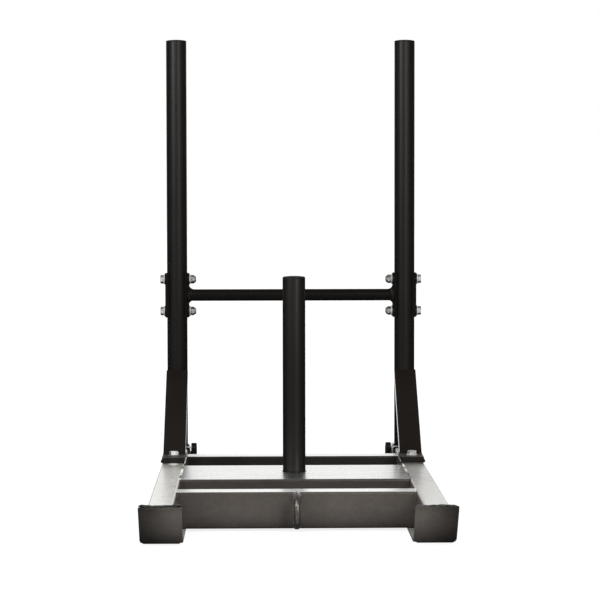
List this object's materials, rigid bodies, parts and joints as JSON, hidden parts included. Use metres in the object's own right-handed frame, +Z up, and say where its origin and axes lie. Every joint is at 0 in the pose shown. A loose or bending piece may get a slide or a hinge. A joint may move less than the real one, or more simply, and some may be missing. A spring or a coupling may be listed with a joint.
{
  "type": "push sled",
  "caption": "Steel push sled on two skis: tube base with tow loop, folded deck and plate post, and a black bolted frame of two upright tubes with braces and a clamped crossbar.",
  "frame": {"origin": "centre of the sled's footprint on the floor, under its bounding box", "axes": "+Z up; -Y towards the nose, where the skis rise; +Y towards the uprights, where a person pushes; +X to the right of a viewer in front of the nose, as in the picture"},
  "size_m": [0.631, 1.08, 1.058],
  "materials": {
    "base_steel": "bare hot-rolled tube and plate under clear coat, warm grey, soft reflections",
    "black_coat": "satin black powder coat with a fine even grain",
    "zinc": "bright zinc plate on bolts, washers, nuts and studs",
    "black_plastic": "moulded black plastic, matt"
  },
  "bodies": {
    "sled": {"front_crossmember": "base_steel", "rear_crossmember": "base_steel", "deck": "base_steel", "tow_loop": "base_steel", "weight_post": "black_coat", "post_cap": "black_plastic", "crossbar": "black_coat", "rail_right": "base_steel", "rail_left": "base_steel", "sole_right": "base_steel", "sole_left": "base_steel", "nose_plate_right": "base_steel", "nose_plate_left": "base_steel", "rail_plug_right": "black_plastic", "rail_plug_left": "black_plastic", "shoe_right": "black_coat", "shoe_left": "black_coat", "upright_right": "black_coat", "upright_left": "black_coat", "upright_cap_right": "black_plastic", "upright_cap_left": "black_plastic", "foot_plate_right": "black_coat", "foot_plate_left": "black_coat", "brace_right": "black_coat", "brace_left": "black_coat", "foot_bolt_right": "zinc", "foot_bolt_left": "zinc", "foot_washer_right": "zinc", "foot_washer_left": "zinc", "foot_nut_right": "zinc", "foot_nut_left": "zinc", "clamp_outer_right": "black_coat", "clamp_outer_left": "black_coat", "clamp_inner_right": "black_coat", "clamp_inner_left": "black_coat", "clamp_bolt_lower_right": "zinc", "clamp_bolt_lower_left": "zinc", "clamp_bolt_upper_right": "zinc", "clamp_bolt_upper_left": "zinc", "clamp_nut_lower_right": "zinc", "clamp_nut_lower_left": "zinc", "clamp_nut_upper_right": "zinc", "clamp_nut_upper_left": "zinc", "clamp_washer_outer_lower_right": "zinc", "clamp_washer_outer_lower_left": "zinc", "clamp_washer_outer_upper_right": "zinc", "clamp_washer_outer_upper_left": "zinc", "clamp_washer_inner_lower_right": "zinc", "clamp_washer_inner_lower_left": "zinc", "clamp_washer_inner_upper_right": "zinc", "clamp_washer_inner_upper_left": "zinc", "lock_nut_right": "zinc", "lock_nut_left": "zinc"},
    "lock_right": {"lock_knob_right": "black_plastic", "lock_stud_right": "zinc"},
    "lock_left": {"lock_knob_left": "black_plastic", "lock_stud_left": "zinc"}
  },
  "joints": [
    {"name": "right_knob_turn", "type": "hinge", "parent": "sled", "child": "lock_right", "pos_m": [0.2471, 0.448, 0.068], "axis": [-1, 0, 0], "continuous": true},
    {"name": "left_knob_turn", "type": "hinge", "parent": "sled", "child": "lock_left", "pos_m": [-0.2471, 0.448, 0.068], "axis": [1, 0, 0], "continuous": true}
  ]
}
